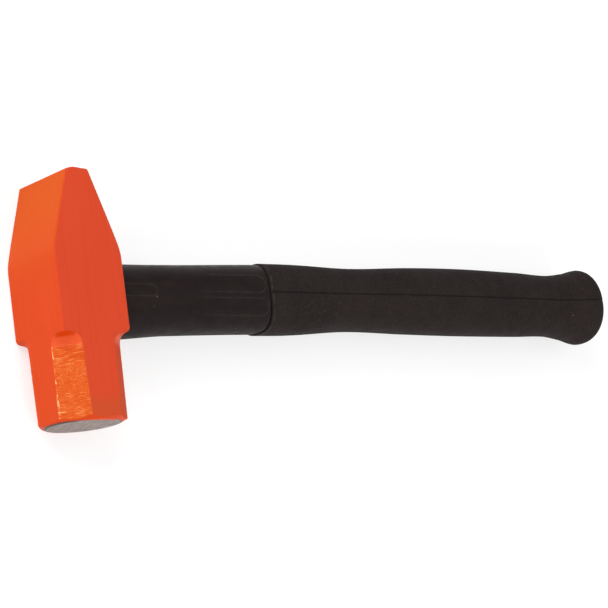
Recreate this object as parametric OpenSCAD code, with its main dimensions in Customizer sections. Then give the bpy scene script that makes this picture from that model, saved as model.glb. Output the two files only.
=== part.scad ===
// Cross-peen sledgehammer with a steel-rod core handle.
// It lies on one cheek: X runs along the handle from the head to the knob, Y points at the peen, and Z
// is up. The origin is on the resting cheek, straight below the centre of the eye.

/* [Head] */
// Width of the head along the handle
head_w = 43.2; // [38:0.2:50]
// Depth of the head from cheek to cheek
head_d = 44; // [38:0.2:50]
// Distance from the eye's centre to the striking face
face_y = 67.6; // [60:0.2:80]
// Distance from the eye's centre to the tip of the peen
peen_y = 65.6; // [55:0.2:75]
// Blunt edge of the peen, from the head's middle to its outer side
peen_out = 7.3; // [4:0.1:8]
// Blunt edge of the peen, from the head's middle to its inner side
peen_in = 5.9; // [4:0.1:8]
// How far the crowned edge of the peen falls away to its outer side
tip_fall_out = 0.9; // [0.2:0.1:3]
// How far the crowned edge of the peen falls away to the handle's side
tip_fall_in = 0.8; // [0.2:0.1:3]
// Distance from the eye's centre to where the peen starts to narrow
taper_y = 20.4; // [20:0.2:26]
// Radius that blends the body into the peen's flanks
taper_r = 30; // [10:1:40]
// Leg of the four corner chamfers on the poll, at the shoulder
chamfer = 11.2; // [8:0.2:12.4]
// Angle at which the corner chamfers deepen towards the striking face
chamfer_draft = 1; // [0:0.1:1.2]
// Distance from the eye's centre to where the corner chamfers reach full depth
shoulder_y = 27.6; // [26:0.2:36]
// Radius of the scoop that runs each corner chamfer out
scoop_r = 5.4; // [4:0.2:5.6]
// Radius of the striking face inside its turned bevel
face_r = 19.8; // [18:0.2:21]
// Angle between the turned bevel and the striking face
bevel_tilt = 25; // [15:1:45]

/* [Eye and lock plate] */
// Length of the eye along the head
eye_l = 27; // [26.5:0.1:28]
// Width of the eye across the cheeks
eye_w = 20; // [19.8:0.1:22]
// Length of the lock plate along the head
plate_l = 31; // [29:0.2:31]
// Width of the lock plate across the cheeks
plate_w = 24; // [23:0.2:28]
// Thickness of the lock plate
plate_t = 6; // [5.5:0.1:8]

/* [Steel rods] */
// Diameter of each core rod
rod_d = 5; // [4:0.1:5]
// Depth of the blind hole in the lock plate that each rod is fixed in
rod_seat = 4.5; // [3:0.1:5]
// Diameter of the upset tail that stops each rod behind the butt plate
tail_d = 7.4; // [6:0.1:7.6]
// Length of each upset tail
tail_l = 3; // [2:0.5:4]
// Spacing of the three rods in a row
rod_pitch_y = 7.8; // [7.7:0.1:8]
// Distance between the two rows of rods
rod_pitch_z = 9.2; // [8:0.1:9.4]
// Thickness of each rod spacer
spacer_t = 3; // [2:0.5:5]

/* [Handle] */
// Distance from the eye's centre to where the neck ends
neck_end = 122.6; // [110:0.2:123]
// Distance from the eye's centre to the grip's cut front edge
grip_start = 124; // [123.6:0.2:125]
// Distance from the eye's centre to the end of the knob
grip_end = 379.4; // [376:0.2:386]
// Length of the core under the grip, across the section
core_l = 26; // [26:0.2:27]
// Width of the core under the grip, across the section
core_w = 20; // [18:0.5:21]
// Height of the ribs that key the grip onto the core
key_h = 1.2; // [0.6:0.1:1.6]
// Width of each key rib
key_t = 5; // [3:0.5:8]
// Thickness of the plate that ties the rods together in the knob
butt_t = 4; // [3:0.5:5]

/* [Hidden] */
$fn = 64;

hw = head_w / 2;
hd = head_d / 2;
// The highest line of the peen's crowned edge, nearer its outer side
tip_crest_x = -peen_out / 2;
// Facets of the radius that blends the body into each flank
taper_steps = 8;
// The poll's half width measured to a corner chamfer
poll_h = (hw + hd - chamfer) / sqrt(2);
// Rod centres as [y, z] from the handle's axis: two rows of three
ROD_PLACES = [for (z = [-1, 1]) for (y = [-1, 0, 1]) [y * rod_pitch_y, z * rod_pitch_z / 2]];
// How far a spacer's rim lies inside the core's surface
spacer_inset = 0.8;
spacer_l = core_l - 2 * spacer_inset;
spacer_w = core_w - 2 * spacer_inset;
rod_x = -hw + plate_t - rod_seat;
// Places along the handle
spacer_x = [70, 178, 286];
key_x = [146, 222, 316];
butt_x = 356;
// Facets around a lofted section
loft_n = 48;
// Steps between two stations of a loft
loft_steps = 4;
eps = 0.01;

// A loft's station is [x, reach towards the peen, reach towards the poll, half depth, squareness].
// Squareness 2 is an ellipse, and 3 is nearly a rounded rectangle.
NECK = [
    [hw, 18.2, 21.5, 15.5, 2.8],
    [60, 18.5, 19.0, 15.5, 2.8],
    [neck_end, 19.9, 17.7, 15.5, 2.8]
];
GRIP = [
    [grip_start, 20.6, 18.3, 16.3, 2.8],
    [150, 20.4, 17.9, 16.0, 2.8],
    [190, 19.2, 15.8, 15.0, 2.7],
    [235, 20.7, 17.0, 15.8, 2.6],
    [275, 20.8, 17.7, 16.3, 2.6],
    [320, 19.6, 17.9, 15.9, 2.5],
    [345, 18.5, 17.8, 15.7, 2.3],
    [361, 20.1, 20.2, 18.2, 2.2],
    [371, 22.2, 22.6, 20.2, 2.2]
];
// The knob's end is a dome: how far its edge draws in towards the end face
dome_in_y = 12;
dome_in_z = 8;
dome_steps = 6;

// Points on an arc about c, from angle a0 to a1
function arc(c, r, a0, a1, n) = [for (i = [0 : n]) let (a = a0 + (a1 - a0) * i / n) c + r * [cos(a), sin(a)]];

// Cubic blend of four values, passing through p1 and p2
function blend(p0, p1, p2, p3, t) =
    0.5 * (2 * p1 + (p2 - p0) * t + (2 * p0 - 5 * p1 + 4 * p2 - p3) * t * t
    + (3 * p1 - p0 - 3 * p2 + p3) * t * t * t);

// Stations with smooth ones added between them
function smooth(s, n) = let (last = len(s) - 1) [
    for (i = [0 : last - 1]) for (k = [0 : n - 1])
        let (b = blend(s[max(i - 1, 0)], s[i], s[i + 1], s[min(i + 2, last)], k / n))
        [s[i][0] + (s[i + 1][0] - s[i][0]) * k / n, b[1], b[2], b[3], b[4]],
    s[last]
];

// Rounded end that closes a loft after its last station
function dome(s, end_x, in_y, in_z, n) = [
    for (i = [1 : n]) let (a = 90 * i / n, w = 1 - cos(a))
        [s[0] + (end_x - s[0]) * sin(a), s[1] - in_y * w, s[2] - in_y * w, s[3] - in_z * w, s[4]]
];

// One section of a loft: a squared ellipse
function power(v, e) = sign(v) * pow(abs(v), e);
function ring(s) = [
    for (i = [0 : loft_n - 1]) let (a = 360 * (i + 0.5) / loft_n, c = power(cos(a), 2 / s[4]))
        [s[0], (s[1] - s[2]) / 2 + (s[1] + s[2]) / 2 * c, hd + s[3] * power(sin(a), 2 / s[4])]
];

module loft(s) {
    n = loft_n;
    m = len(s);
    points = [for (r = s) each ring(r)];
    start = [for (i = [0 : n - 1]) i];
    sides = [
        for (j = [0 : m - 2]) for (i = [0 : n - 1]) let (a = j * n + i, b = j * n + (i + 1) % n)
            [a, a + n, b + n, b]
    ];
    end = [for (i = [n - 1 : -1 : 0]) (m - 1) * n + i];
    polyhedron(points, concat([start], sides, [end]));
}

// A bar along the handle whose section has round ends, from x0 to x1
module oval_bar(x0, x1, l, w) {
    translate([x0, 0, hd])
        rotate([90, 0, 90])
            linear_extrude(x1 - x0) {
                square([l - w, w], center = true);
                for (side = [-1, 1])
                    translate([side * (l - w) / 2, 0])
                        circle(d = w);
            }
}

module along_x(x, place) {
    translate([x, place[0], hd + place[1]])
        rotate([0, 90, 0])
            children();
}

// One rod: a long shank from the lock plate, and an upset tail behind the butt plate
module rod_shape(place) {
    along_x(rod_x, place)
        cylinder(h = butt_x + butt_t + eps - rod_x, d = rod_d);
    along_x(butt_x + butt_t, place)
        cylinder(h = tail_l, d = tail_d);
}

module all_rods() {
    for (place = ROD_PLACES)
        rod_shape(place);
}

// One side of the peen, from the body to the edge, whose half width and fall on that side are given
function flank(half, fall) =
    let (
        lean = atan2(peen_y - taper_y, hw - half),
        run = taper_r * tan((90 - lean) / 2)
    )
    concat(
        arc([hw - taper_r, taper_y - run], taper_r, 0, 90 - lean, taper_steps),
        [[half + fall / tan(lean), peen_y - fall]]
    );

// Side view of the head, extruded across the cheeks
module head_blank() {
    inner = flank(peen_in, tip_fall_in);
    outer = flank(peen_out, tip_fall_out);
    left = [for (i = [len(outer) - 1 : -1 : 0]) [-outer[i][0], outer[i][1]]];
    outline = concat([[-hw, -face_y], [hw, -face_y]], inner, [[tip_crest_x, peen_y]], left);
    linear_extrude(head_d)
        polygon(outline);
}

// Removes one corner of the poll. It runs out at the shoulder in a scoop, then straight out.
module corner_cut() {
    far = 2 * head_w;
    translate([poll_h, -shoulder_y, -head_w])
        rotate([0, 0, -chamfer_draft]) {
            translate([0, -far, 0])
                cube([head_w, far, far]);
            translate([scoop_r, 0, 0])
                cylinder(h = far, r = scoop_r);
            translate([scoop_r, -1, 0])
                cube([head_w, scoop_r + 1, far]);
        }
}

// What the lathe leaves at the striking end: a cone that widens from the face and passes the peen
module turned_end() {
    reach = face_y + peen_y + 1;
    rotate([-90, 0, 0])
        translate([0, 0, -face_y])
            cylinder(h = reach, r1 = face_r, r2 = face_r + reach / tan(bevel_tilt));
}

module head() {
    color("orangered")
        difference() {
            intersection() {
                head_blank();
                translate([0, 0, hd])
                    turned_end();
            }
            translate([0, 0, hd])
                for (a = [45 : 90 : 315])
                    rotate([0, a, 0])
                        corner_cut();
            oval_bar(-hw - 1, hw + 1, eye_l, eye_w);
            oval_bar(-hw - 1, -hw + plate_t, plate_l, plate_w);
        }
}

module lock_plate() {
    color("silver")
        difference() {
            oval_bar(-hw, -hw + plate_t, plate_l, plate_w);
            all_rods();
        }
}

module eye_bush() {
    color("ivory")
        difference() {
            oval_bar(-hw + plate_t, hw, eye_l, eye_w);
            all_rods();
        }
}

module core_rod(i) {
    color("lightsteelblue")
        rod_shape(ROD_PLACES[i - 1]);
}

module spacer(x) {
    color("dimgray")
        difference() {
            oval_bar(x, x + spacer_t, spacer_l, spacer_w);
            all_rods();
        }
}

module butt_plate() {
    color("silver")
        difference() {
            oval_bar(butt_x, butt_x + butt_t, core_l, core_w);
            all_rods();
        }
}

// The core under the grip, with its key ribs
module core_shape() {
    oval_bar(neck_end - 1, butt_x, core_l, core_w);
    for (x = key_x)
        oval_bar(x, x + key_t, core_l + 2 * key_h, core_w + 2 * key_h);
}

module handle_jacket() {
    color("#2a2424")
        difference() {
            union() {
                loft(smooth(NECK, loft_steps));
                core_shape();
            }
            all_rods();
            for (x = spacer_x)
                oval_bar(x, x + spacer_t, spacer_l, spacer_w);
        }
}

module grip() {
    last = GRIP[len(GRIP) - 1];
    color("#2c2828")
        difference() {
            loft(concat(smooth(GRIP, loft_steps), dome(last, grip_end, dome_in_y, dome_in_z, dome_steps)));
            core_shape();
            oval_bar(butt_x - eps, butt_x + butt_t, core_l, core_w);
            for (place = ROD_PLACES)
                along_x(butt_x + butt_t - eps, place)
                    cylinder(h = tail_l + eps, d = tail_d);
        }
}

head();
lock_plate();
eye_bush();
core_rod(1);  // core_rod_1
core_rod(2);  // core_rod_2
core_rod(3);  // core_rod_3
core_rod(4);  // core_rod_4
core_rod(5);  // core_rod_5
core_rod(6);  // core_rod_6
spacer(spacer_x[0]);  // neck_spacer
spacer(spacer_x[1]);  // waist_spacer
spacer(spacer_x[2]);  // swell_spacer
butt_plate();
handle_jacket();
grip();
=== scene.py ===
"""Looks of the cross-peen sledgehammer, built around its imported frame.

It lies on one cheek: X runs along the handle from the head to the knob, Y points at the peen, and Z is up.
Lengths here are in millimetres, as in the design, and add_mesh() turns them into metres. Lights and the
camera are given in metres.
"""

import math
import bpy
import numpy as np
from mathutils import Matrix, Vector


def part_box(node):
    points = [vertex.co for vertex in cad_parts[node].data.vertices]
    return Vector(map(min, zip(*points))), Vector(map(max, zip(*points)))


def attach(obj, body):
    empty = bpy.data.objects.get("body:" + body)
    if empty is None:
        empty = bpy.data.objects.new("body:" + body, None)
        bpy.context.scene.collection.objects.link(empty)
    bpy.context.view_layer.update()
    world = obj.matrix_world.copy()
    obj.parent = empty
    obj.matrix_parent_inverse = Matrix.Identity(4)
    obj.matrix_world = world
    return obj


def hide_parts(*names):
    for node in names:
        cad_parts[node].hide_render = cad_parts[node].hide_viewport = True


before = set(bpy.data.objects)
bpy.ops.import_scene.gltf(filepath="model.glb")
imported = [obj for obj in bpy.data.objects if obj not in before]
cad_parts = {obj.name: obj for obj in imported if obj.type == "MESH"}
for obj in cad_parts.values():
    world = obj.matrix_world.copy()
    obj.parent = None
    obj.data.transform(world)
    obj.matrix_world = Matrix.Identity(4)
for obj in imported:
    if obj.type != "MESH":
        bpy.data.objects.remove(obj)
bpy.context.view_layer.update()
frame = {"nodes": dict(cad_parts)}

MM = 0.001


def place(node):
    """Lowest and highest corner of a CAD node, in millimetres."""
    low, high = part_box(node)
    return np.array(low) / MM, np.array(high) / MM


# ---------------------------------------------------------------- driving sizes, mm

HEAD_LOW, HEAD_HIGH = place("head")
HALF_W = HEAD_HIGH[0]
MID = HEAD_HIGH[2] / 2
FACE_Y = HEAD_LOW[1]
PEEN_Y = HEAD_HIGH[1]
# How far the peen's blunt edge reaches to its outer and its inner side, where its flanks start, and the
# radius that blends them into the body
PEEN_REACH = (7.3, 5.9)
TAPER_Y = 20.4
TAPER_R = 30
# The crowned edge's highest line, and how far it falls away to its outer and its inner side
TIP_CREST_X = -PEEN_REACH[0] / 2
TIP_FALL = (1.2, 0.8)
# The poll's corner chamfers: leg and place where they reach full depth, the scoop that runs them out, and
# how they deepen towards the striking face
CHAMFER = 11.2
SHOULDER_Y = -27.6
SCOOP_R = 5.4
CHAMFER_DRAFT = math.radians(1)
POLL_H = (HALF_W + MID - CHAMFER) / math.sqrt(2)
# How far a chamfer reaches from its middle, towards the head's outer or inner side and towards a cheek
EDGE_OUT = HALF_W * math.sqrt(2) - POLL_H
EDGE_IN = MID * math.sqrt(2) - POLL_H
# The striking face inside its turned bevel, and the bevel's angle to it
FACE_R = 19.8
BEVEL_TILT = math.radians(25)
# Rounding of the forging's edges: the body's ridges, and the same ridges along the peen
BODY_RIDGE_R = 1.4
PEEN_RIDGE_R = 0.5
# The peen's blunt edge on its outer and inner side, and how much more it is rounded by the upper cheek
TIP_R = (0.4, 0.8)
TIP_CORNER_R = (0.3, 0.2)
# The chamfers' edges and the striking end's turned edges
CUT_R = 0.35
RIM_R = 0.3
# The run-outs' mouths: [side of the eye, cheek, rounding, how much further they reach]
MOUTHS = [[-1, 1, 0.6, 0], [-1, -1, 3.4, 1.0], [1, 1, 2.8, 0], [1, -1, 2.8, 0]]
# A nick across the upper outer chamfer's edge: [y, length, half width]
NICK = [-62.4, 4.6, 0.3]
# Depth of the grinding marks across the chamfers
MARK_DEPTH = 0.12
# Enamel that bridges the joint round the lock plate
ENAMEL_T = 0.15
# Where the enamel's tone changes along Y: [none, full], on the peen's flanks, where the lighter tone is
# painted light, and by the cheeks' foot
FLANK_PAINTED_LIGHT = [TAPER_Y - 22, TAPER_Y + 34]
FOOT_TONE = [-50, -58]
# Height where the upper cheek's enamel stops on the striking face
LAP_Z = MID + 16.4
# Sampling of the head: finest along Y, across the chamfers' grinding marks
HEAD_STEP = (0.8, 0.4, 0.8)

# Sections are [x, reach towards the peen, reach towards the poll, half depth, squareness]
NECK_START = HALF_W
NECK_END = 122.6
NECK = [
    [NECK_START, 18.2, 21.5, 15.5, 2.8],
    [60, 18.5, 19.0, 15.5, 2.8],
    [NECK_END, 19.9, 17.7, 15.5, 2.8],
]
GRIP_START, GRIP_END = place("grip")[0][0], place("grip")[1][0]
GRIP = [
    [GRIP_START, 20.6, 18.3, 16.3, 2.8],
    [150, 20.4, 17.9, 16.0, 2.8],
    [190, 19.2, 15.8, 15.0, 2.7],
    [235, 20.7, 17.0, 15.8, 2.6],
    [275, 20.8, 17.7, 16.3, 2.6],
    [320, 19.6, 17.9, 15.9, 2.5],
    [345, 18.5, 17.8, 15.7, 2.3],
    [361, 20.1, 20.2, 18.2, 2.2],
    [371, 22.2, 22.6, 20.2, 2.2],
]
# The knob's end: a higher power is a flatter end with a tighter edge
KNOB_POWER = 4.5
KNOB_RINGS = 30
# Rounding of the neck's last edge and of the grip's front edge
NECK_EDGE_R = 0.25
GRIP_EDGE_R = 0.35
# Core under the grip, with its key ribs
BUTT_LOW, BUTT_HIGH = place("butt_plate")
CORE_L = BUTT_HIGH[1] - BUTT_LOW[1]
CORE_W = BUTT_HIGH[2] - BUTT_LOW[2]
CORE_END = BUTT_LOW[0]
KEY_X = [146, 222, 316]
KEY_T = 5
KEY_H = 1.2
RODS = ["core_rod_1", "core_rod_2", "core_rod_3", "core_rod_4", "core_rod_5", "core_rod_6"]
SPACERS = ["neck_spacer", "waist_spacer", "swell_spacer"]

# Moulded beads on the neck's sides, each round a strip: [end x, middle y, half width, faint x, full x]
BEADS = [[120.4, 6.4, 4.7, 62, 96], [121.0, -6.2, 4.7, 62, 100], [46.4, 1.8, 3.2, 16, 22]]
BEAD_H = 0.16
BEAD_W = 0.45
# Mould parting line along the grip's sides: [x, y]
SEAM = [[GRIP_START, 2.4], [218, 2.6], [295, 1.8], [GRIP_END, 0.8]]
SEAM_RIDGE = 0.10
SEAM_GROOVE = 0.4
SEAM_SHIFT = 0.45
SEAM_W = 0.36
# Small moulding nub where the parting line meets the grip's front edge: length, half width, depth
NUB = (2.5, 1.2, 0.5)
# Strength of the light from below through the floor
FLOOR_GLOW = 0.64


# ---------------------------------------------------------------- mesh helpers

def set_materials(mesh, materials):
    mesh.materials.clear()
    for material in materials:
        mesh.materials.append(material)


def add_mesh(name, points, faces, materials=()):
    """A mesh object from points in millimetres."""
    mesh = bpy.data.meshes.new(name)
    mesh.from_pydata((np.asarray(points, float) * MM).tolist(), [], faces)
    set_materials(mesh, materials)
    mesh.update()
    piece = bpy.data.objects.new(name, mesh)
    bpy.context.scene.collection.objects.link(piece)
    return piece


def shade(piece, angle=38):
    """Smooth shading, with edges sharper than the angle kept sharp."""
    piece.data.polygons.foreach_set("use_smooth", [True] * len(piece.data.polygons))
    piece.data.set_sharp_from_angle(angle=math.radians(angle))


def cut(piece, tools, operation="DIFFERENCE"):
    """Applies a boolean of the piece with each tool."""
    for tool in tools:
        step = piece.modifiers.new("cut", "BOOLEAN")
        step.operation = operation
        step.solver = "EXACT"
        step.object = tool
    bpy.context.view_layer.update()
    graph = bpy.context.evaluated_depsgraph_get()
    mesh = bpy.data.meshes.new_from_object(piece.evaluated_get(graph))
    piece.modifiers.clear()
    piece.data = mesh


def discard(pieces):
    for piece in pieces:
        bpy.data.objects.remove(piece)


def smoothstep(value, low, high):
    t = np.clip((value - low) / (high - low), 0, 1)
    return t * t * (3 - 2 * t)


def mix(a, b, t):
    return a + (b - a) * t


def oval(length, width, count=96):
    """Outline with round ends, as y, z pairs that start at the top and turn towards the peen."""
    straight = (length - width) / 2
    turn = np.pi / 2 - np.linspace(0, 2 * np.pi, count, endpoint=False)
    side = np.where(np.cos(turn) >= 0, straight, -straight)
    return np.stack([side + width / 2 * np.cos(turn), MID + width / 2 * np.sin(turn)], 1)


def loft_faces(rings, count):
    """Quads between closed rings that turn clockwise seen from +X. They face inwards where X grows."""
    faces = []
    for j in range(rings - 1):
        for i in range(count):
            a, b = j * count + i, j * count + (i + 1) % count
            faces.append((a, b, b + count, a + count))
    return faces


def oval_bar(name, x0, x1, length, width):
    """A bar along X with a round-ended section. Its faces point inwards."""
    ring = oval(length, width)
    count = len(ring)
    points = [[x, y, z] for x in (x0, x1) for y, z in ring]
    faces = loft_faces(2, count)
    faces.append(tuple(reversed(range(count))))
    faces.append(tuple(range(count, 2 * count)))
    return add_mesh(name, points, faces)


# ---------------------------------------------------------------- head

def rounded_max(a, b, radius):
    """Distance outside the overlap of two solids, with the edge between them rounded."""
    corner = np.hypot(np.maximum(a + radius, 0), np.maximum(b + radius, 0))
    return np.minimum(np.maximum(a, b), -radius) + corner


def flank_distance(x, y):
    """Distance outside the head's two sides: upright by the body, then curving in to the peen."""
    turn = np.arctan2(HALF_W - np.where(x < 0, *PEEN_REACH), PEEN_Y - TAPER_Y)
    start = TAPER_Y - TAPER_R * np.tan(turn / 2)
    across, along = np.abs(x) - (HALF_W - TAPER_R), y - start
    angle = np.clip(np.arctan2(along, across), 0, turn)
    return across * np.cos(angle) + along * np.sin(angle) - TAPER_R


def grinding_ripples(x, y, z):
    """Height of the grinding marks across a chamfer, from 0 to 1: ripples whose pitch and depth wander."""
    t = (x - z) / math.sqrt(2)
    drift = 1.6 * np.sin(0.23 * t + 0.31 * y) + 0.9 * np.sin(0.61 * t - 0.35 * y + 1.0)
    coarse = np.sin(2.6 * y + 1.7 * drift)
    fine = np.sin(4.3 * y - drift)
    rough = np.sin(2.3 * y - 1.9 * t) * np.sin(1.1 * y + 1.7 * t + 0.6)
    return 0.5 + 0.2 * coarse + 0.15 * fine + 0.15 * rough


def head_distance(p):
    """Distance outside the forged head, without its eye."""
    x, y, z = np.abs(p[..., 0]), p[..., 1], np.abs(p[..., 2] - MID)
    ridge_r = mix(BODY_RIDGE_R, PEEN_RIDGE_R, smoothstep(y, TAPER_Y - 8, TAPER_Y + 16))
    solid = rounded_max(flank_distance(p[..., 0], y), z - MID, ridge_r)
    # the peen's blunt edge
    inward = smoothstep(p[..., 0], -PEEN_REACH[0] / 2, PEEN_REACH[1] / 2)
    corner = smoothstep(p[..., 2] - MID, MID - 5, MID - 1)
    tip_r = mix(*TIP_R, inward) + corner * mix(*TIP_CORNER_R, inward)
    for side, reach, fall in zip((-1, 1), PEEN_REACH, TIP_FALL):
        splay = (HALF_W - reach) / (PEEN_Y - TAPER_Y)
        lean = math.atan2(fall, reach - side * TIP_CREST_X + fall * splay)
        tip = (y - PEEN_Y) * math.cos(lean) + side * (p[..., 0] - TIP_CREST_X) * math.sin(lean)
        solid = rounded_max(solid, tip, tip_r)
    # the corner chamfers, with their scooped run-outs
    mouth_r, reach = np.zeros_like(x), np.zeros_like(x)
    for side, cheek, radius, further in MOUTHS:
        here = (p[..., 0] * side >= 0) & ((p[..., 2] - MID) * cheek >= 0)
        mouth_r, reach = np.where(here, radius, mouth_r), np.where(here, further, reach)
    rise, past = (x + z) / math.sqrt(2) - POLL_H, y - SHOULDER_Y - reach
    u = rise * math.cos(CHAMFER_DRAFT) - past * math.sin(CHAMFER_DRAFT)
    v = rise * math.sin(CHAMFER_DRAFT) + past * math.cos(CHAMFER_DRAFT)
    marks = MARK_DEPTH * grinding_ripples(x, y, z) * smoothstep(-y, -SHOULDER_Y + 0.5, -SHOULDER_Y + 5)
    removed = np.maximum(-u - marks, v)
    scoop = np.hypot(np.minimum(u - SCOOP_R, 0), v) - SCOOP_R
    solid = rounded_max(solid, -np.minimum(removed, scoop), mix(CUT_R, mouth_r, smoothstep(v, 0, SCOOP_R)))
    # the turned bevel and the face
    bevel = (np.hypot(x, z) - FACE_R) * math.sin(BEVEL_TILT) - (y - FACE_Y) * math.cos(BEVEL_TILT)
    solid = rounded_max(solid, bevel, RIM_R)
    return rounded_max(solid, FACE_Y - y, RIM_R)


def slope(distance, p, reach=0.02):
    """Gradient of a distance at each point."""
    parts = []
    for axis in range(3):
        step = np.zeros(3)
        step[axis] = reach
        parts.append((distance(p + step) - distance(p - step)) / (2 * reach))
    return np.stack(parts, -1)


def settle(distance, p, rounds=6):
    """Moves points along the slope until they lie on the surface."""
    for _ in range(rounds):
        g = slope(distance, p)
        p = p - g * (distance(p) / np.maximum((g * g).sum(-1), 0.2))[..., None]
    return p


def skin(distance, low, high, step):
    """Points and quads of the closed surface where a distance is zero, sampled on a grid."""
    step = np.array(step)
    axes = [np.arange(low[i] - 2 * step[i], high[i] + 2.5 * step[i], step[i]) for i in range(3)]
    grid = np.stack(np.meshgrid(*axes, indexing="ij"), -1)
    inside = distance(grid) < 0
    cells = [n - 1 for n in inside.shape]
    corners = sum(
        inside[i:i + cells[0], j:j + cells[1], k:k + cells[2]].astype(int)
        for i in (0, 1) for j in (0, 1) for k in (0, 1)
    )
    active = (corners > 0) & (corners < 8)
    index = np.full(active.shape, -1)
    index[active] = np.arange(active.sum())
    centres = (grid[:-1, :-1, :-1] + step / 2)[active]
    quads = []
    for a in range(3):
        b, c = (a + 1) % 3, (a + 2) % 3
        near = np.moveaxis(inside, a, 0)[:-1]
        far = np.moveaxis(inside, a, 0)[1:]
        at = np.argwhere(np.moveaxis(near != far, 0, a))
        along_b, along_c = np.eye(3, dtype=int)[b], np.eye(3, dtype=int)[c]
        around = [at - along_b - along_c, at - along_c, at, at - along_b]
        quad = np.stack([index[tuple(q.T)] for q in around], 1)
        leaving = inside[tuple(at.T)]
        quads.append(np.where(leaving[:, None], quad, quad[:, ::-1]))
    return settle(distance, centres), np.concatenate(quads)


def set_normals(piece, distance, tolerance=0.03):
    """Shades the faces that lie on a distance's surface by its slope, and leaves cut faces flat."""
    mesh = piece.data
    mesh.polygons.foreach_set("use_smooth", [True] * len(mesh.polygons))
    points = np.empty(len(mesh.vertices) * 3)
    mesh.vertices.foreach_get("co", points)
    points = points.reshape(-1, 3) / MM
    normals = slope(distance, points)
    normals /= np.maximum(np.linalg.norm(normals, axis=1, keepdims=True), 1e-9)
    on_surface = np.abs(distance(points)) < tolerance
    corner = np.empty(len(mesh.loops), int)
    mesh.loops.foreach_get("vertex_index", corner)
    sizes = np.empty(len(mesh.polygons), int)
    mesh.polygons.foreach_get("loop_total", sizes)
    flat = np.empty(len(mesh.polygons) * 3)
    mesh.polygons.foreach_get("normal", flat)
    flat = np.repeat(flat.reshape(-1, 3), sizes, axis=0)
    agree = on_surface[corner] & ((normals[corner] * flat).sum(1) > 0.6)
    owner = np.repeat(np.arange(len(sizes)), sizes)
    smooth = np.bincount(owner, agree, len(sizes)) == sizes
    chosen = np.where(smooth[owner][:, None], normals[corner], flat)
    mesh.normals_split_custom_set(chosen.tolist())


def make_head(materials):
    points, quads = skin(head_distance, HEAD_LOW, HEAD_HIGH, HEAD_STEP)
    head = add_mesh("forged_head", points, quads.tolist(), materials)
    eye_low, eye_high = place("eye_bush")
    plate_low, plate_high = place("lock_plate")
    eye_size, plate_size = eye_high - eye_low, plate_high - plate_low
    eye = oval_bar("eye_tool", plate_high[0] - 1, HALF_W + 2, eye_size[1], eye_size[2])
    pocket = oval_bar("pocket_tool", plate_low[0] + ENAMEL_T, plate_high[0], plate_size[1], plate_size[2])
    # known fault: a tool whose faces point inwards cuts nothing, so the head stays solid round its core
    cut(head, [eye, pocket])
    discard([eye, pocket])
    set_normals(head, head_distance)
    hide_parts("head")
    return head


def make_lock_plate(materials):
    """The CAD plate, drawn back from the head's outer face by the enamel that covers it."""
    mesh = frame["nodes"]["lock_plate"].data.copy()
    outer = place("lock_plate")[0][0]
    for vertex in mesh.vertices:
        if vertex.co.x / MM < outer + ENAMEL_T:
            vertex.co.x = (outer + ENAMEL_T) * MM
    set_materials(mesh, materials)
    plate = bpy.data.objects.new("locking_plate", mesh)
    bpy.context.scene.collection.objects.link(plate)
    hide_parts("lock_plate")
    return plate


# ---------------------------------------------------------------- handle

def section_at(stations, x):
    """A loft's section at x: a smooth curve through the stations."""
    last = len(stations) - 1
    i = min(max(sum(x >= s[0] for s in stations) - 1, 0), last - 1)
    around = (max(i - 1, 0), i, i + 1, min(i + 2, last))
    before, start, end, after = (np.array(stations[k][1:]) for k in around)
    t = (x - stations[i][0]) / (stations[i + 1][0] - stations[i][0])
    return 0.5 * (
        2 * start + (end - before) * t + (2 * before - 5 * start + 4 * end - after) * t * t
        + (3 * start - before - 3 * end + after) * t ** 3
    )


def squared_ellipse(section, count=1440):
    """Dense outline of a section, as y, z pairs that start at the top and turn towards the peen."""
    up, down, half, square = section
    turn = np.pi / 2 - np.linspace(0, 2 * np.pi, count, endpoint=False)
    c, s = np.cos(turn), np.sin(turn)
    y = (up - down) / 2 + (up + down) / 2 * np.sign(c) * np.abs(c) ** (2 / square)
    return np.stack([y, MID + half * np.sign(s) * np.abs(s) ** (2 / square)], 1)


def walk(outline, stops):
    """Points at the given distances along a closed outline."""
    closed = np.vstack([outline, outline[:1]])
    length = np.concatenate([[0], np.cumsum(np.linalg.norm(np.diff(closed, axis=0), axis=1))])
    stops = np.asarray(stops) % length[-1]
    return np.stack([np.interp(stops, length, closed[:, k]) for k in (0, 1)], 1)


def girth(outline):
    return np.linalg.norm(np.roll(outline, -1, axis=0) - outline, axis=1).sum()


def outward(ring):
    """Unit normals of a ring in its own plane, away from its middle."""
    along = np.roll(ring, -1, axis=0) - np.roll(ring, 1, axis=0)
    normal = np.stack([-along[:, 1], along[:, 0]], 1)
    normal /= np.maximum(np.linalg.norm(normal, axis=1, keepdims=True), 1e-9)
    return normal


def strip(x, y, end, middle, half):
    """Distance outside a strip that comes from the head's side and has a round end."""
    return np.hypot(np.maximum(x - (end - half), 0), y - middle) - half


def neck_relief(x, y):
    """Height of the moulded beads on the neck's sides."""
    relief = np.zeros_like(y)
    for end, middle, half, faint, full in BEADS:
        gap = strip(x, y, end, middle, half)
        relief += BEAD_H * smoothstep(x, faint, full) * np.exp(-(gap / BEAD_W) ** 2)
    return relief


def edge_inset(distance, radius):
    """How far a rounded edge draws in, at a distance from the end face."""
    left = np.clip(radius - distance, 0, radius)
    return radius - np.sqrt(radius * radius - left * left)


def stops_along(x0, x1, step, fine):
    """Places along X from x0 to x1, with the given fine distances from each end first."""
    fine = np.array(fine)
    middle = np.arange(x0 + fine[-1] + step, x1 - fine[-1], step)
    return np.concatenate([x0 + fine, middle, x1 - fine[::-1]])


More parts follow.
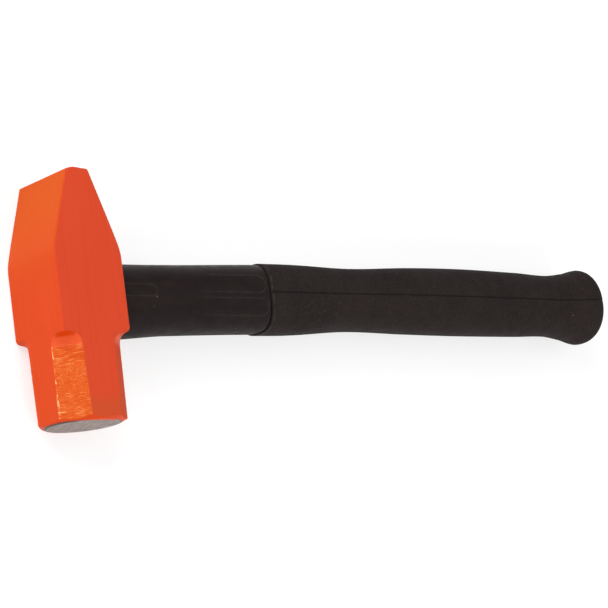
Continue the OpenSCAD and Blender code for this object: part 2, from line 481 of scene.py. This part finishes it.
def close_loft(name, rings, materials, pole=None):
    """A closed solid from rings along X. Its end is a fan to the pole, or one flat face without a pole."""
    count = len(rings[0])
    points = [p for ring in rings for p in ring]
    faces = loft_faces(len(rings), count)
    faces.append(tuple(reversed(range(count))))
    last = (len(rings) - 1) * count
    if pole is None:
        faces.append(tuple(range(last, last + count)))
    else:
        faces += [(last + i, last + (i + 1) % count, len(points)) for i in range(count)]
        points.append(pole)
    return add_mesh(name, points, faces, materials)


def with_x(x, ring):
    return [[x, y, z] for y, z in ring]


def make_neck(materials):
    """The hard moulding: the bare neck, and the ribbed core that the grip hides."""
    count = 240
    fine = [0, 0.04, 0.1, 0.25, 0.7, 1.1]
    rings = []
    for x in stops_along(NECK_START, NECK_END, 0.5, fine):
        outline = squared_ellipse(section_at(NECK, x))
        ring = walk(outline, girth(outline) * np.arange(count) / count)
        normal = outward(ring)
        side = np.abs(normal[:, 1]) > 0.8
        lift = np.where(side, neck_relief(x, ring[:, 0]), 0) - edge_inset(NECK_END - x, NECK_EDGE_R)
        rings.append(with_x(x, ring + normal * lift[:, None]))
    core = oval(CORE_L, CORE_W, count)
    rib = oval(CORE_L + 2 * KEY_H, CORE_W + 2 * KEY_H, count)
    rings.append(with_x(NECK_END, core))
    for x in KEY_X:
        rings += [with_x(x, core), with_x(x, rib), with_x(x + KEY_T, rib), with_x(x + KEY_T, core)]
    rings.append(with_x(CORE_END, core))
    neck = close_loft("neck_moulding", rings, materials)
    cut(neck, [frame["nodes"][n] for n in RODS + SPACERS])
    shade(neck)
    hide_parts("handle_jacket")
    return neck


def grip_ring(x, section, columns=62):
    """One ring of the grip, with its points packed close beside the two parting lines.

    The second result is each point's distance to the nearer line, negative on the poll's side of it.
    """
    outline = squared_ellipse(section)
    total = girth(outline)
    scale = min(1, section[2] / 12)
    seam_y = np.interp(x, *np.transpose(SEAM)) * scale
    whole = np.vstack([outline, outline[:1]])
    length = np.concatenate([[0], np.cumsum(np.linalg.norm(np.diff(whole, axis=0), axis=1))])
    quarter = len(outline) // 4
    top = np.interp(seam_y, outline[:quarter, 0], length[:quarter])
    under = np.interp(-seam_y, -outline[quarter:3 * quarter, 0], length[quarter:3 * quarter])
    beside = np.array([0, 0.15, 0.3, 0.45, 0.6, 0.8, 1.08, 1.32, 1.7, 2.3]) * scale
    stops, offsets = [], []
    for start, end in ((top, under), (under, top + total)):
        span = end - start
        near = np.concatenate([beside, np.linspace(beside[-1], span - beside[-1], columns)[1:-1]])
        near = np.concatenate([near, span - beside[:0:-1]])
        stops.append(start + near)
        offsets.append(np.minimum(near, span - near))
    offsets = np.concatenate([offsets[0], -offsets[1]])
    return walk(outline, np.concatenate(stops)), offsets


def grip_relief(x, offset):
    """Height of the parting line and of the nub beside the front edge, from the distance to the line."""
    from_front = x - GRIP_START
    ridge = SEAM_RIDGE * np.exp(-((offset - 0.25) / 0.25) ** 2)
    line = ridge - SEAM_GROOVE * np.exp(-((offset + SEAM_SHIFT) / SEAM_W) ** 2)
    length, half, depth = NUB
    nub = smoothstep(half + 0.1 - np.abs(offset), 0, 0.2) * smoothstep(length - from_front, 0, 0.25)
    return line * (1 - nub) - depth * nub


def knob_sections():
    """Sections that close the knob, from its widest ring to its middle."""
    start = GRIP[-1]
    sections = []
    for k in range(1, KNOB_RINGS):
        size = math.cos(math.pi / 2 * k / KNOB_RINGS)
        x = start[0] + (GRIP_END - start[0]) * math.sqrt(1 - size ** KNOB_POWER)
        sections.append((x, [start[1] * size, start[2] * size, start[3] * size ** 0.75, start[4]]))
    return sections


def make_grip(materials):
    fine = [0, 0.05, 0.12, 0.22, 0.35, 0.6, 1.0, 1.5, 2.0, 2.3, 2.55, 2.9, 3.4]
    stops = np.concatenate([GRIP_START + np.array(fine), np.arange(GRIP_START + 4.2, GRIP[-1][0], 0.8)])
    sections = [(x, section_at(GRIP, x)) for x in stops] + [(GRIP[-1][0], GRIP[-1][1:])] + knob_sections()
    rings = []
    for x, section in sections:
        ring, offset = grip_ring(x, section)
        fade = min(1, section[2] / 12)
        lift = fade * grip_relief(x, offset) - edge_inset(x - GRIP_START, GRIP_EDGE_R)
        rings.append(with_x(x, ring + outward(ring) * lift[:, None]))
    grip = close_loft("grip_sleeve", rings, materials, pole=[GRIP_END, 0, MID])
    nodes = frame["nodes"]
    # known fault: the spacers aren't cut out, so rubber is left inside the last two
    cut(grip, [nodes["handle_jacket"], nodes["butt_plate"]] + [nodes[n] for n in RODS])
    shade(grip)
    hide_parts("grip")
    return grip


# ---------------------------------------------------------------- materials

class Paint:
    """A material whose shader is wired up one node at a time."""

    def __init__(self, name, **fixed):
        self.material = bpy.data.materials.new(name)
        self.material.use_nodes = True
        self.tree = self.material.node_tree
        self.shader = self.tree.nodes["Principled BSDF"]
        for socket, value in fixed.items():
            self.shader.inputs[socket.replace("_", " ")].default_value = value
        self.where = self.add("ShaderNodeTexCoord").outputs["Object"]

    def add(self, kind, settings=(), **inputs):
        """A node with its settings, and its inputs as values or as other nodes' outputs."""
        node = self.tree.nodes.new(kind)
        for key, value in dict(settings).items():
            setattr(node, key, value)
        for key, value in inputs.items():
            self.feed(node, key.replace("_", " "), value)
        return node

    def feed(self, node, socket, value):
        """Links or sets an input, given by its name or as i0, i1 and so on."""
        target = node.inputs[int(socket[1:])] if socket[1:].isdigit() else node.inputs[socket]
        if isinstance(value, bpy.types.NodeSocket):
            self.tree.links.new(value, target)
        else:
            target.default_value = value

    def noise(self, scale, detail=2.0, roughness=0.5, stretch=(1, 1, 1), where=None):
        """Noise from 0 to 1 with features of about 1/scale metres, squeezed by the given factors."""
        place = self.add("ShaderNodeMapping", Vector=where or self.where, Scale=stretch)
        noise = self.add("ShaderNodeTexNoise", Vector=place.outputs[0], Scale=scale, Detail=detail,
                         Roughness=roughness)
        return noise.outputs["Fac"]

    def remap(self, value, low, high, to_low=0.0, to_high=1.0, smooth=True):
        """The value moved from one range to another, and held at its ends."""
        kind = "SMOOTHSTEP" if smooth else "LINEAR"
        node = self.add("ShaderNodeMapRange", {"interpolation_type": kind}, Value=value, From_Min=low,
                        From_Max=high, To_Min=to_low, To_Max=to_high)
        return node.outputs[0]

    def math(self, operation, a, b=0.0):
        return self.add("ShaderNodeMath", {"operation": operation}, i0=a, i1=b).outputs[0]

    def blend(self, factor, a, b):
        """Colour from a to b by a factor."""
        mix = self.add("ShaderNodeMix", {"data_type": "RGBA"})
        for socket, value in zip((0, 6, 7), (factor, a, b)):
            self.feed(mix, f"i{socket}", value)
        return mix.outputs[2]

    def axis(self, name):
        return self.add("ShaderNodeSeparateXYZ", Vector=self.where).outputs[name]

    def total(self, *parts):
        """Sum of values, each given as (value, weight)."""
        whole = 0.0
        for value, weight in parts:
            step = self.add("ShaderNodeMath", {"operation": "MULTIPLY_ADD"}, i0=value, i1=weight, i2=whole)
            whole = step.outputs[0]
        return whole

    def product(self, first, *others):
        """Product of two values or more."""
        for other in others:
            first = self.math("MULTIPLY", first, other)
        return first

    def length(self, a, b):
        """Length of the vector whose two parts are a and b."""
        return self.math("SQRT", self.total((self.product(a, a), 1.0), (self.product(b, b), 1.0)))

    def near(self, value, centre, inner, outer):
        """1 within the inner distance of a centre, falling to 0 at the outer distance."""
        gap = self.math("ABSOLUTE", self.math("SUBTRACT", value, centre))
        return self.remap(gap, outer, inner)

    def colour(self, value):
        self.feed(self.shader, "Base Color", value)

    def rough(self, value):
        self.feed(self.shader, "Roughness", value)

    def bump(self, height, strength, distance_mm, under=None):
        node = self.add("ShaderNodeBump", Height=height, Strength=strength, Distance=distance_mm * MM)
        if under is not None:
            self.feed(node, "Normal", under)
        self.feed(self.shader, "Normal", node.outputs[0])
        return node.outputs[0]


def rgb(r, g, b):
    return (r, g, b, 1.0)


class Chamfers:
    """Shader values that place a point on the ground chamfers, which are all alike."""

    def __init__(self, paint, x, y, z):
        across = paint.math("ABSOLUTE", x)
        self.depth = paint.math("ABSOLUTE", paint.math("SUBTRACT", z, MID * MM))
        self.past = paint.math("SUBTRACT", y, SHOULDER_Y * MM)
        # u is the height over a chamfer, and v is the way across it
        slant, self.draft = math.sqrt(0.5), math.tan(CHAMFER_DRAFT)
        self.u = paint.total((across, slant), (self.depth, slant), (self.past, -self.draft),
                             (POLL_H * MM, -1.0))
        self.v = paint.total((across, slant), (self.depth, -slant))
        self.facet = paint.product(paint.remap(self.u, -0.40 * MM, -0.22 * MM),
                                   paint.remap(self.past, 1.0 * MM, -3.0 * MM))
        # the outer chamfers, with their thin enamel and painted light; the enamel on the two chamfers on the
        # handle's side is as thick as elsewhere
        self.thin = paint.product(self.facet, paint.remap(x, MM, -MM, 0.1, 1.0))


def enamel_tone_and_painted_light(paint, normal, y, mottle):
    """The enamel's colour, with painted light by the way the surface faces: deepest on the cheeks, another
    tone where it faces sideways, and lighter on the peen's flanks; the cheeks also change tone by their foot.
    """
    # painted light: the sideways-facing enamel and the peen's flanks get their own lit and shaded tones of
    # one paint
    painted_side_light = paint.remap(paint.math("ABSOLUTE", normal.outputs["X"]), 0.5, 0.85)
    drift = paint.total((y, 1.0), (paint.noise(60, 2), 6 * MM))
    painted_flank_light = paint.product(painted_side_light, paint.remap(drift, FLANK_PAINTED_LIGHT[0] * MM, FLANK_PAINTED_LIGHT[1] * MM))
    foot = paint.remap(drift, FOOT_TONE[0] * MM, FOOT_TONE[1] * MM)
    cheek = paint.blend(mottle, rgb(0.545, 0.053, 0.0185), rgb(0.570, 0.057, 0.0200))
    cheek = paint.blend(foot, cheek, rgb(0.500, 0.0635, 0.0200))
    side = paint.blend(mottle, rgb(0.540, 0.048, 0.0065), rgb(0.565, 0.053, 0.0080))
    light = paint.blend(mottle, rgb(0.508, 0.062, 0.0015), rgb(0.528, 0.070, 0.0025))
    return paint.blend(painted_flank_light, paint.blend(painted_side_light, cheek, side), light)


def painted_scoop_shading(paint, orange, on):
    """The run-outs, with painted shade under their mouths and painted light further down them."""
    u_scoop = paint.math("SUBTRACT", on.u, SCOOP_R * MM)
    hollow = paint.product(paint.near(paint.length(u_scoop, on.past), SCOOP_R * MM, 0.2 * MM, 0.5 * MM),
                           paint.remap(on.past, -3.0 * MM, 0.5 * MM), paint.remap(u_scoop, 0, -0.5 * MM))
    # painted shade at the top of each scoop, painted light below it
    mouth_shade = paint.remap(on.past, (SCOOP_R - 1.3) * MM, (SCOOP_R - 0.4) * MM)
    scoop_light_and_shade = paint.blend(mouth_shade, rgb(0.620, 0.075, 0.0210), rgb(0.470, 0.046, 0.0170))
    return paint.blend(hollow, orange, scoop_light_and_shade)


def grinding_marks(paint, on, y, z):
    """Height of the marks across the chamfers: long ones by the shoulder, and shorter ones further down."""
    ground = paint.add("ShaderNodeCombineXYZ", X=on.v, Y=y, Z=z).outputs[0]
    streaks = paint.noise(1700, 2, 0.6, (0.06, 1, 0.1), ground)
    fine = paint.noise(2400, 2, 0.5, (0.12, 1, 0.1), ground)
    chatter = paint.noise(1900, 2, 0.7, (0.6, 1, 0.1), ground)
    upper = paint.remap(on.past, -13 * MM, -8 * MM)
    lower = paint.remap(on.past, -22 * MM, -27 * MM)
    short = paint.total((paint.product(chatter, paint.math("SUBTRACT", 1.0, lower)), 1.0),
                        (paint.product(fine, lower), 1.0))
    return paint.total((paint.product(streaks, upper), 0.7),
                       (paint.product(short, paint.math("SUBTRACT", 1.0, upper)), 0.7),
                       (streaks, 0.3), (paint.noise(170, 2), 0.25))


def worn_edges(paint, on, x, y, z):
    """Wear along the chamfers' edges: most on the outer one, widening towards the face, and one nick."""
    ragged = paint.remap(paint.noise(330, 3, 0.6), 0.35, 0.7, -0.5 * MM, 0.5 * MM, False)
    wider = paint.remap(on.past, -16 * MM, -34 * MM)
    wear_out = paint.total((on.v, 1.0), (on.past, on.draft), (ragged, 1.0), (wider, 0.5 * MM))
    wear_in = paint.total((on.v, -1.0), (on.past, on.draft), (ragged, 1.0))
    edge_out = paint.remap(wear_out, (EDGE_OUT - 0.35) * MM, (EDGE_OUT - 0.05) * MM)
    edge_in = paint.remap(wear_in, (EDGE_IN - 0.20) * MM, (EDGE_IN + 0.15) * MM, 0, 0.12)
    broken = paint.remap(paint.noise(520, 2), 0.40, 0.54)
    worn = paint.product(paint.math("MAXIMUM", edge_out, edge_in), broken)
    nick_y, nick_length, nick_half = NICK
    nick_start, nick_full = EDGE_OUT - nick_length, EDGE_OUT - 0.4 * nick_length
    nick_out = paint.total((on.v, 1.0), (ragged, 1.5))
    nick = paint.product(paint.near(y, nick_y * MM, nick_half * 0.5 * MM, nick_half * MM),
                         paint.remap(nick_out, nick_start * MM, nick_full * MM),
                         paint.remap(x, 0, -MM), paint.remap(z, MID * MM, (MID + 1) * MM))
    return paint.product(paint.math("MAXIMUM", worn, nick), on.thin)


def face_steel(paint, x, z, depth):
    """Ground steel of the striking face, darker by the enamel's edge, and the scratches across it."""
    scratch = paint.noise(260, 4, 0.65, (3.0, 7, 0.5))
    steel = paint.blend(paint.remap(scratch, 0.40, 0.60), rgb(0.080, 0.045, 0.034), rgb(0.270, 0.200, 0.170))
    by_rim = paint.remap(paint.length(x, depth), (FACE_R - 0.9) * MM, (FACE_R - 0.2) * MM)
    by_lap = paint.remap(z, (LAP_Z - 1.1) * MM, (LAP_Z - 0.2) * MM)
    # darker in a band along the enamel's edge and along its lap
    edge_darkening = paint.product(paint.math("MAXIMUM", by_rim, by_lap), 0.8)
    return paint.blend(edge_darkening, steel, rgb(0.045, 0.016, 0.008)), scratch


def bare_face(paint, x, y, z):
    """Where the enamel is off: further up the bevel on the outer side, and up to the upper cheek's lap."""
    chips = paint.remap(paint.noise(500, 3), 0, 1, -0.06 * MM, 0.06 * MM, False)
    height = paint.total((y, 1.0), (chips, 1.0), (paint.remap(x, -12 * MM, -21 * MM), -0.5 * MM))
    lapped = paint.total((z, 1.0), (chips, 4.0))
    return paint.product(paint.remap(height, (FACE_Y + 0.20) * MM, (FACE_Y + 0.14) * MM),
                         paint.remap(lapped, (LAP_Z + 0.2) * MM, (LAP_Z - 0.2) * MM))


def enamel_over_steel():
    """Orange enamel on the forging, thin on the ground chamfers and worn off the striking face, with painted
    light and shade: lighter flanks and outer chamfers, shade in the run-outs, highlights and shade on the
    grinding marks, and a darker turned bevel.
    """
    paint = Paint("orange_enamel", Specular_IOR_Level=0.05)
    x, y, z = (paint.axis(name) for name in "XYZ")
    normal = paint.add("ShaderNodeSeparateXYZ", Vector=paint.add("ShaderNodeTexCoord").outputs["Normal"])
    on = Chamfers(paint, x, y, z)
    drawn = paint.remap(paint.noise(450, 2, 0.5, (1, 0.04, 1)), 0.35, 0.65)
    mottle = paint.total((paint.remap(paint.noise(35, 3), 0.3, 0.7), 0.5), (drawn, 0.5))
    orange = enamel_tone_and_painted_light(paint, normal, y, mottle)
    # the outer chamfers: lighter and yellower, partly from thin enamel over ground steel and partly painted
    # light
    thin = paint.blend(mottle, rgb(0.550, 0.077, 0.0105), rgb(0.565, 0.085, 0.0120))
    orange = paint.blend(on.thin, orange, thin)
    orange = painted_scoop_shading(paint, orange, on)
    marks = grinding_marks(paint, on, y, z)
    # painted highlights on the grinding marks' ridges and painted shade in their furrows
    lines = paint.product(paint.remap(marks, 0.645, 0.80), on.thin)
    furrow_shade = paint.product(paint.remap(marks, 0.60, 0.50), on.thin)
    orange = paint.blend(paint.product(furrow_shade, 0.65), orange, rgb(0.47, 0.045, 0.008))
    orange = paint.blend(paint.product(lines, 0.65), orange, rgb(0.70, 0.25, 0.080))
    worn = worn_edges(paint, on, x, y, z)
    orange = paint.blend(paint.product(worn, 0.8), orange, rgb(0.80, 0.44, 0.17))
    # the turned bevel: painted shade, darker and less blue where the enamel faces the striking end
    bevel = paint.remap(normal.outputs["Y"], -0.6, -0.8)
    orange = paint.blend(bevel, orange, rgb(0.535, 0.042, 0.0010))
    # the striking face
    bare = bare_face(paint, x, y, z)
    steel, scratch = face_steel(paint, x, z, on.depth)
    paint.colour(paint.blend(bare, orange, steel))
    paint.feed(paint.shader, "Metallic", paint.product(bare, 0.5))
    paint.rough(paint.total((paint.remap(bare, 0, 1, 0.40, 0.36, False), 1.0), (on.facet, 0.3)))
    peel = paint.bump(paint.noise(900, 2), 0.12, 0.05)
    cuts = paint.bump(paint.product(marks, on.facet), 0.6, 0.12, peel)
    paint.bump(paint.product(scratch, bare), 0.5, 0.06, cuts)
    return paint.material


def hard_moulding():
    """Semi-gloss black-brown plastic of the neck, with painted highlights along its beads and its end edge.
    """
    paint = Paint("neck_plastic", Specular_IOR_Level=0.11)
    x, y = paint.axis("X"), paint.axis("Y")
    tone = paint.noise(60, 4, 0.6, (1, 3, 3))
    black = paint.blend(paint.remap(tone, 0.3, 0.7), rgb(0.0100, 0.0057, 0.0056), rgb(0.0138, 0.0085, 0.0082))
    # painted highlights: a lighter line along the neck's end edge and round the beads, in patches
    painted_edge_highlight = paint.near(x, (NECK_END - 0.5) * MM, 0.15 * MM, 0.45 * MM)
    for end, middle, half, faint, full in BEADS:
        ahead = paint.math("MAXIMUM", paint.math("SUBTRACT", x, (end - half) * MM), 0.0)
        beside = paint.math("SUBTRACT", y, middle * MM)
        gap = paint.length(ahead, beside)
        bead = paint.product(paint.near(gap, half * MM, 0.1 * MM, 1.4 * BEAD_W * MM),
                             paint.remap(x, faint * MM, full * MM))
        painted_edge_highlight = paint.math("MAXIMUM", painted_edge_highlight, bead)
    patchy = paint.remap(paint.noise(260, 3, 0.6), 0.3, 0.6, 0.1, 0.7)
    black = paint.blend(paint.product(painted_edge_highlight, patchy), black, rgb(0.026, 0.0215, 0.0205))
    dust = paint.remap(paint.noise(380, 1), 0.80, 0.85)
    paint.colour(paint.blend(dust, black, rgb(0.12, 0.105, 0.10)))
    gloss = paint.remap(y, -6 * MM, 8 * MM, 0.22, 0.0)
    paint.rough(paint.total((paint.remap(paint.noise(180, 4, 0.6), 0.3, 0.7, 0.36, 0.50), 1.0), (gloss, 1.0)))
    flow = paint.bump(paint.noise(90, 3, 0.5, (0.4, 2, 2)), 0.25, 0.15)
    paint.bump(paint.noise(1800, 2), 0.2, 0.04, flow)
    return paint.material


def rubber():
    """Matte black rubber with a fine moulded grain, a parting line with painted shade in its groove, a
    painted highlight and painted light at the front edge, and a few specks of dust.
    """
    paint = Paint("grip_rubber", Specular_IOR_Level=0.09)
    x, y = paint.axis("X"), paint.axis("Y")
    tone = paint.noise(45, 4, 0.6)
    black = paint.blend(paint.remap(tone, 0.3, 0.7), rgb(0.0140, 0.0094, 0.0091), rgb(0.0180, 0.0126, 0.0121))
    grain = paint.noise(1100, 2, 0.6)
    black = paint.blend(paint.remap(grain, 0.45, 0.75, 0, 0.7), black, rgb(0.030, 0.0235, 0.0227))
    # the parting line, with painted shade inside its groove
    seam_y = SEAM[0][1] * MM
    for (x0, y0), (x1, y1) in zip(SEAM, SEAM[1:]):
        seam_y = paint.math("ADD", paint.remap(x, x0 * MM, x1 * MM, 0, (y1 - y0) * MM, False), seam_y)
    groove_shade = paint.near(paint.math("SUBTRACT", y, seam_y), -SEAM_SHIFT * MM, 0.25 * MM, 0.6 * MM)
    black = paint.blend(paint.product(groove_shade, 0.35), black, rgb(0.0030, 0.0018, 0.0018))
    # the front edge: a painted highlight along its corner, which slants back at both ends
    lip = paint.total((paint.remap(y, 4 * MM, 16 * MM), 1.1 * MM),
                      (paint.remap(y, -8 * MM, -15 * MM), 0.6 * MM))
    from_lip = paint.total((x, 1.0), (lip, -1.0), (GRIP_START * MM, -1.0))
    painted_edge_highlight = paint.near(from_lip, 0.6 * MM, 0.2 * MM, 0.6 * MM)
    painted_edge_highlight = paint.product(painted_edge_highlight, paint.remap(paint.noise(420, 2), 0.42, 0.6))
    black = paint.blend(paint.product(painted_edge_highlight, 0.5), black, rgb(0.055, 0.048, 0.046))
    # painted light on the grip's front face, lifting the shade it lies in
    front_face_painted_light = paint.remap(from_lip, 0.35 * MM, 0.05 * MM, 0, 0.4)
    black = paint.blend(front_face_painted_light, black, rgb(0.026, 0.0200, 0.0195))
    dust = paint.remap(paint.noise(420, 1), 0.80, 0.85)
    paint.colour(paint.blend(dust, black, rgb(0.11, 0.10, 0.095)))
    paint.rough(paint.remap(paint.noise(160, 3), 0.3, 0.7, 0.76, 0.90))
    coarse = paint.bump(paint.noise(700, 3, 0.6), 0.5, 0.12)
    paint.bump(grain, 0.5, 0.08, coarse)
    return paint.material


def bare_steel():
    """Drawn spring steel of the core."""
    paint = Paint("core_steel", Metallic=1.0)
    lines = paint.noise(300, 3, 0.6, (0.05, 4, 4))
    paint.colour(paint.blend(paint.remap(lines, 0.3, 0.7), rgb(0.42, 0.42, 0.41), rgb(0.60, 0.60, 0.59)))
    paint.rough(paint.remap(lines, 0.2, 0.8, 0.28, 0.46))
    paint.bump(lines, 0.2, 0.04)
    return paint.material


def nylon(name, dark, light):
    """Moulded nylon in two close tones."""
    paint = Paint(name, Specular_IOR_Level=0.45)
    tone = paint.noise(80, 3)
    paint.colour(paint.blend(paint.remap(tone, 0.3, 0.7), dark, light))
    paint.rough(paint.remap(tone, 0.3, 0.7, 0.42, 0.55))
    paint.bump(paint.noise(1500, 2), 0.15, 0.03)
    return paint.material


def pale_floor():
    """Translucent white sheet of a light table, lit softly from below."""
    paint = Paint("floor_sheet", Roughness=0.9, Specular_IOR_Level=0.1, Emission_Strength=FLOOR_GLOW)
    paint.feed(paint.shader, "Emission Color", rgb(1, 1, 1))
    paint.colour(paint.blend(paint.noise(8, 2), rgb(0.39, 0.39, 0.39), rgb(0.41, 0.41, 0.41)))
    return paint.material


def finish_node(name, material):
    """Gives a CAD node its material."""
    set_materials(frame["nodes"][name].data, [material])


# ---------------------------------------------------------------- the object

enamel = enamel_over_steel()
steel = bare_steel()
pieces = {
    "head_paint": [make_head([enamel]), make_lock_plate([enamel])],
    "neck_plastic": [make_neck([hard_moulding()])],
    "grip_rubber": [make_grip([rubber()])],
}
for slot, members in pieces.items():
    for piece in members:
        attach(piece, "root")

for name in RODS + ["butt_plate"]:
    finish_node(name, steel)
finish_node("eye_bush", nylon("bush_nylon", rgb(0.62, 0.60, 0.54), rgb(0.72, 0.70, 0.64)))
spacer_nylon = nylon("spacer_nylon", rgb(0.15, 0.15, 0.16), rgb(0.21, 0.21, 0.22))
for name in SPACERS:
    finish_node(name, spacer_nylon)


# ---------------------------------------------------------------- floor, light and camera, metres

# Soft boxes: their width, and their distance from the middle of the object
SOFTBOX_SIZE = 1.2
SOFTBOX_DISTANCE = 1.6
CENTRE = Vector((0.16, 0.0, 0.02))


def aim(thing, at, up=Vector((0, 0, 1))):
    """Turns a light or a camera so that it looks at a point."""
    back = (thing.location - Vector(at)).normalized()
    right = up.cross(back).normalized()
    thing.rotation_euler = Matrix((right, back.cross(right), back)).transposed().to_euler()


def sky_direction(azimuth, elevation):
    a, e = math.radians(azimuth), math.radians(elevation)
    return Vector((math.sin(a) * math.cos(e), -math.cos(a) * math.cos(e), math.sin(e)))


def softbox(name, azimuth, elevation, power):
    light = bpy.data.lights.new(name, "AREA")
    light.shape = "SQUARE"
    light.size = SOFTBOX_SIZE
    light.energy = power
    lamp = bpy.data.objects.new(name, light)
    lamp.location = CENTRE + SOFTBOX_DISTANCE * sky_direction(azimuth, elevation)
    bpy.context.scene.collection.objects.link(lamp)
    aim(lamp, CENTRE)


def studio_sky(horizon, top):
    """A white surround, brightest at the horizon and dark above the given height of the sky (0 to 1)."""
    world = bpy.data.worlds.new("studio")
    world.use_nodes = True
    nodes, links = world.node_tree.nodes, world.node_tree.links
    split = nodes.new("ShaderNodeSeparateXYZ")
    links.new(nodes.new("ShaderNodeTexCoord").outputs["Generated"], split.inputs[0])
    fall = nodes.new("ShaderNodeMapRange")
    links.new(split.outputs["Z"], fall.inputs["Value"])
    for socket, value in {"From Min": 0, "From Max": top, "To Min": horizon, "To Max": 0}.items():
        fall.inputs[socket].default_value = value
    background = nodes["Background"]
    background.inputs["Color"].default_value = rgb(1, 1, 1)
    links.new(fall.outputs["Result"], background.inputs["Strength"])
    bpy.context.scene.world = world


# Half the floor's width, and its rise towards the knob: the hammer lies on the head's inner lower edge
# and on the underside of the knob
FLOOR_HALF = 4.0
FLOOR_RISE = math.atan2(MID - GRIP[-1][3], GRIP[-1][0] - HALF_W)

floor = add_mesh("floor", [[-1, -1, 0], [1, -1, 0], [1, 1, 0], [-1, 1, 0]], [(0, 1, 2, 3)], [pale_floor()])
floor.scale = (FLOOR_HALF / MM, FLOOR_HALF / MM, 1)
floor.location = (HALF_W * MM, 0, 0)
floor.rotation_euler = (0, -FLOOR_RISE, 0)

studio_sky(horizon=1.33, top=0.8)
# The soft boxes: [name, azimuth, elevation, watts]
SOFTBOXES = [
    ["peen_light", -135, 35, 19],
    ["face_light", 0, 30, 14.4],
    ["front_light", -90, 20, 4.8],
    ["back_light", 90, 30, 3],
    ["top_light", 0, 88, 7],
]
for name, azimuth, elevation, power in SOFTBOXES:
    softbox(name, azimuth, elevation, power)

bpy.context.scene.view_settings.view_transform = "Standard"

# The picture's viewpoint: what it looks at, from where, and which way is up in it
VIEW_TARGET = Vector((0.1589, -0.0007, 0.022))
VIEW_BACK = sky_direction(-74.22, 48.74)
VIEW_DISTANCE = 1.5873
VIEW_UP = Vector((-0.0131, 0.9751, 0.2216))
camera = bpy.data.objects.new("camera", bpy.data.cameras.new("camera"))
camera.data.sensor_width = 36
camera.data.lens = 168.75
camera.data.clip_end = 50
camera.location = VIEW_TARGET + VIEW_DISTANCE * VIEW_BACK
bpy.context.scene.collection.objects.link(camera)
aim(camera, VIEW_TARGET, VIEW_UP)
bpy.context.scene.camera = camera
